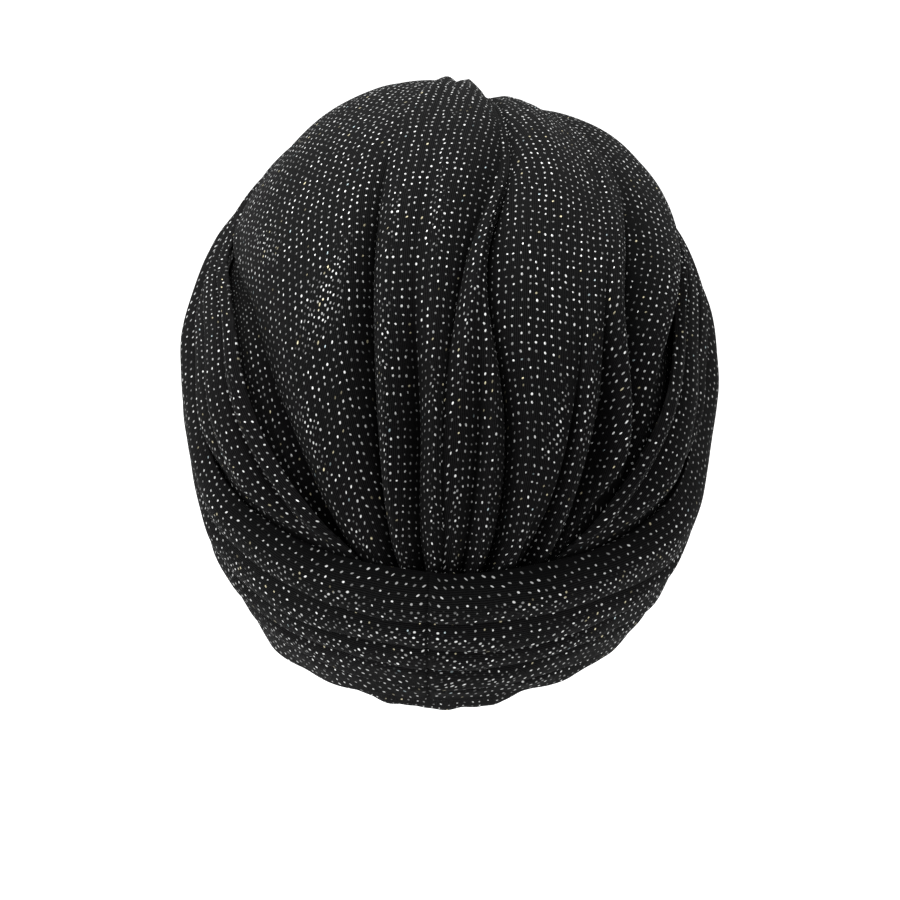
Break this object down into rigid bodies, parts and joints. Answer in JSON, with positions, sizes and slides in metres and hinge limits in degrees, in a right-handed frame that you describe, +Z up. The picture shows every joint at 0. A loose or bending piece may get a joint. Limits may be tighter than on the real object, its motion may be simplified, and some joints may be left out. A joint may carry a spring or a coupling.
{
  "type": "ready-tied turban",
  "caption": "Ready-tied turban of black knit with silver flecks: gathered crown, side wraps, stacked folds round the nape, elastic hem and a twist at the front.",
  "frame": {"origin": "middle of the head opening, halfway between the rim's nape point and its front point", "axes": "+Z up as worn, -Y the way the wearer looks, +X the wearer's left"},
  "size_m": [0.1936, 0.2465, 0.1936],
  "materials": {
    "fleck_knit": "matt fine rib stretch knit in near black, with rows of small silver metallic flecks",
    "elastic_hem": "the same knit gathered on an elastic, a little darker"
  },
  "bodies": {
    "root": {"crown": "fleck_knit", "upper_wrap_left": "fleck_knit", "upper_wrap_right": "fleck_knit", "lower_wrap_left": "fleck_knit", "lower_wrap_right": "fleck_knit", "front_knot": "fleck_knit", "rim_hem": "elastic_hem"}
  },
  "joints": []
}
